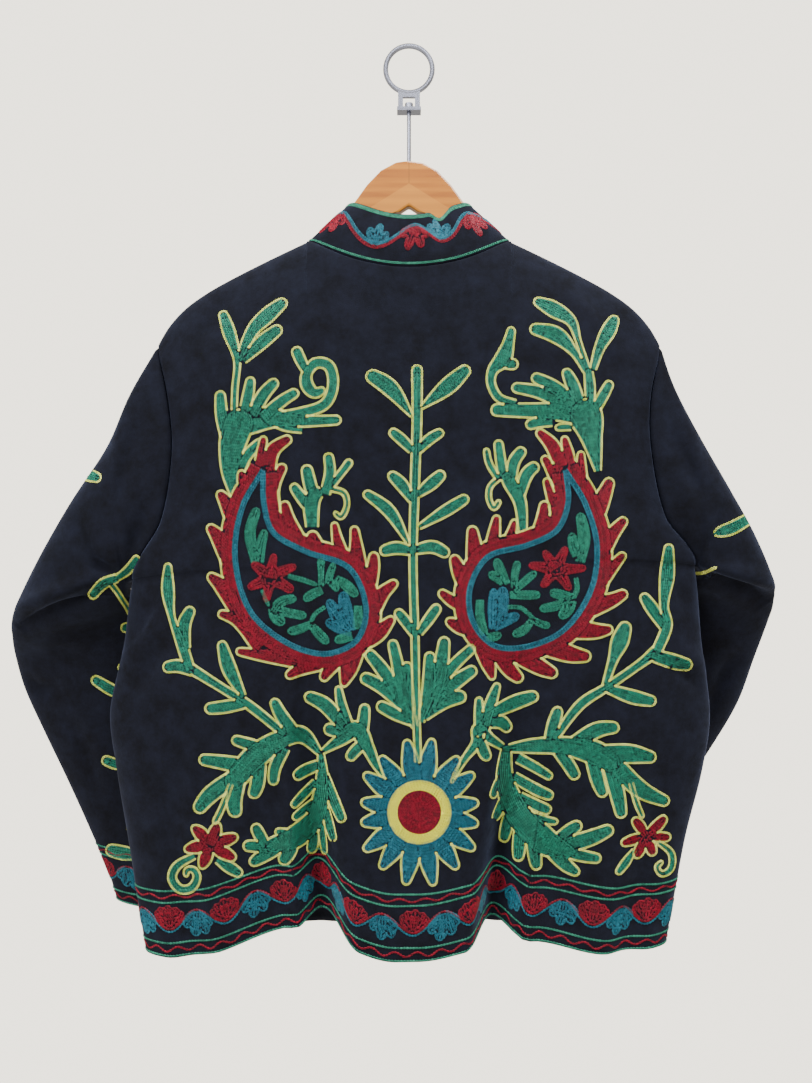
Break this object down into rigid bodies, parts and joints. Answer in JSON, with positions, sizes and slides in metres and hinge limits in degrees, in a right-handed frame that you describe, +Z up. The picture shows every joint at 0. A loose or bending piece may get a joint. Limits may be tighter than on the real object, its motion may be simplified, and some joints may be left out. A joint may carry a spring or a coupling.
{
  "type": "embroidered velvet jacket on a wooden hanger",
  "caption": "Open-fronted black velvet jacket with stand collar, long sleeves and chain-stitch flower and leaf embroidery, on a wooden hanger with a closed ring.",
  "frame": {"origin": "the inside of the hanger ring at its top, where the hook that holds it up bears", "axes": "+Z up, along the jacket's length; -Y out of the jacket's back; +X to the jacket's right side; +Y is its shortest way, front to back"},
  "size_m": [0.787, 0.146, 0.8999],
  "materials": {
    "black_velvet": "cotton velvet with a short mottled nap",
    "green_thread": "chain-stitched silky thread",
    "lime_thread": "chain-stitched silky thread",
    "red_thread": "chain-stitched silky thread",
    "teal_thread": "chain-stitched silky thread",
    "varnished_beech": "clear gloss varnish",
    "zinc_plated_steel": "bright zinc plating"
  },
  "bodies": {
    "root": {"back": "black_velvet", "front_left": "black_velvet", "front_right": "black_velvet", "sleeve_left": "black_velvet", "sleeve_right": "black_velvet", "collar": "black_velvet", "hanger_wood": "varnished_beech", "hanger_pin": "zinc_plated_steel", "hanger_ring": "zinc_plated_steel"}
  },
  "joints": []
}
